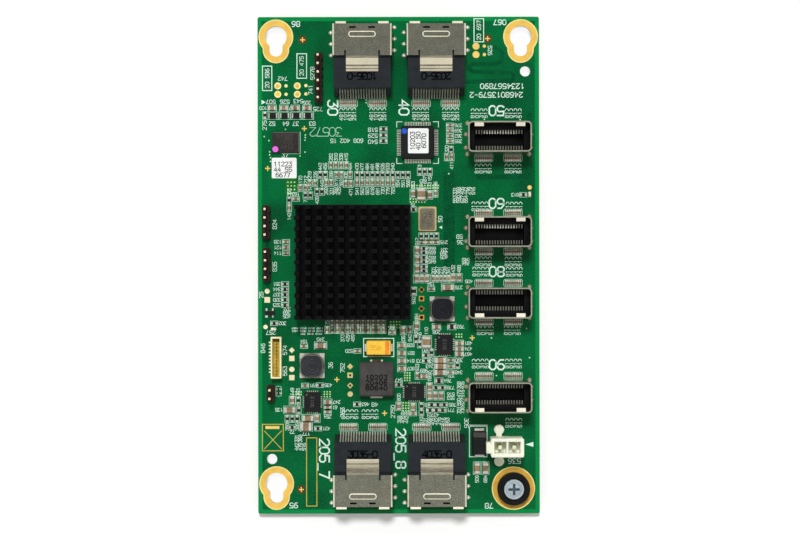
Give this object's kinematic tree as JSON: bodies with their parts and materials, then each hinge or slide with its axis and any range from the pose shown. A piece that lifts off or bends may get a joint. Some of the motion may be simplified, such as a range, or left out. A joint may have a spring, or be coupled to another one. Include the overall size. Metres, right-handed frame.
{
  "type": "storage expander board",
  "caption": "Long green circuit board with a black pin-fin heat sink, shielded edge ports, upright ports, keyhole mounts and a locking screw; it fans a storage link out to drives.",
  "frame": {"origin": "middle of the board in plan, on the plane of the solder tail tips that it rests on", "axes": "+Y along the board's length towards the end with two keyholes, +Z out of the part side, +X towards the upright ports"},
  "size_m": [0.085, 0.15, 0.0149],
  "materials": {
    "solder_mask": "satin green mask over laminate",
    "gold_plate": "bright gold plating",
    "nickel_shell": "plated sheet metal",
    "tin_plate": "tinned leads",
    "contact_gold": "gold flash on contacts",
    "dark_moulding": "blue-black moulding",
    "black_moulding": "black moulding",
    "black_anodised": "black anodised",
    "chip_black": "chip epoxy",
    "ferrite_grey": "pressed ferrite",
    "tantalum_yellow": "yellow moulding",
    "label_paper": "matt white label",
    "ivory_plastic": "natural nylon",
    "cream_plastic": "cream nylon",
    "thermal_grey": "soft thermal pad",
    "capacitor_ceramic": "brown ceramic with tinned ends",
    "resistor_film": "black film with tinned ends",
    "oscillator_ceramic": "brown ceramic",
    "lamp_resin": "clear resin",
    "screw_steel": "zinc plated"
  },
  "bodies": {
    "root": {"chip_capacitors": "capacitor_ceramic", "chip_resistors": "resistor_film", "circuit_board": "solder_mask", "controller_chip": "chip_black", "controller_label": "label_paper", "controller_leads": "tin_plate", "diode_terminals": "tin_plate", "drum_inductor_bases": "tin_plate", "drum_inductor_cores": "ferrite_grey", "edge_port_1_cage": "nickel_shell", "edge_port_1_contacts": "contact_gold", "edge_port_1_housing": "dark_moulding", "edge_port_2_cage": "nickel_shell", "edge_port_2_contacts": "contact_gold", "edge_port_2_housing": "dark_moulding", "edge_port_3_cage": "nickel_shell", "edge_port_3_contacts": "contact_gold", "edge_port_3_housing": "dark_moulding", "edge_port_4_cage": "nickel_shell", "edge_port_4_contacts": "contact_gold", "edge_port_4_housing": "dark_moulding", "expander_chip": "chip_black", "flash_chip": "chip_black", "flash_label": "label_paper", "four_lead_chip": "chip_black", "header_pins": "contact_gold", "header_strips": "black_moulding", "heat_sink": "black_anodised", "indicator_lamps": "lamp_resin", "locking_screw": "screw_steel", "mounting_lands": "gold_plate", "oscillator_base": "oscillator_ceramic", "oscillator_lid": "nickel_shell", "plated_pads": "gold_plate", "power_connector_housing": "ivory_plastic", "power_connector_pins": "tin_plate", "power_diode": "chip_black", "power_inductor": "ferrite_grey", "power_inductor_terminals": "tin_plate", "regulator_chips": "chip_black", "screw_collar": "black_moulding", "small_diodes": "chip_black", "tantalum_capacitor": "tantalum_yellow", "tantalum_terminals": "tin_plate", "thermal_pad": "thermal_grey", "upright_port_1_contacts": "contact_gold", "upright_port_1_insulator": "black_moulding", "upright_port_1_shell": "nickel_shell", "upright_port_2_contacts": "contact_gold", "upright_port_2_insulator": "black_moulding", "upright_port_2_shell": "nickel_shell", "upright_port_3_contacts": "contact_gold", "upright_port_3_insulator": "black_moulding", "upright_port_3_shell": "nickel_shell", "upright_port_4_contacts": "contact_gold", "upright_port_4_insulator": "black_moulding", "upright_port_4_shell": "nickel_shell", "wire_connector_contacts": "tin_plate", "wire_connector_housing": "cream_plastic"}
  },
  "joints": []
}
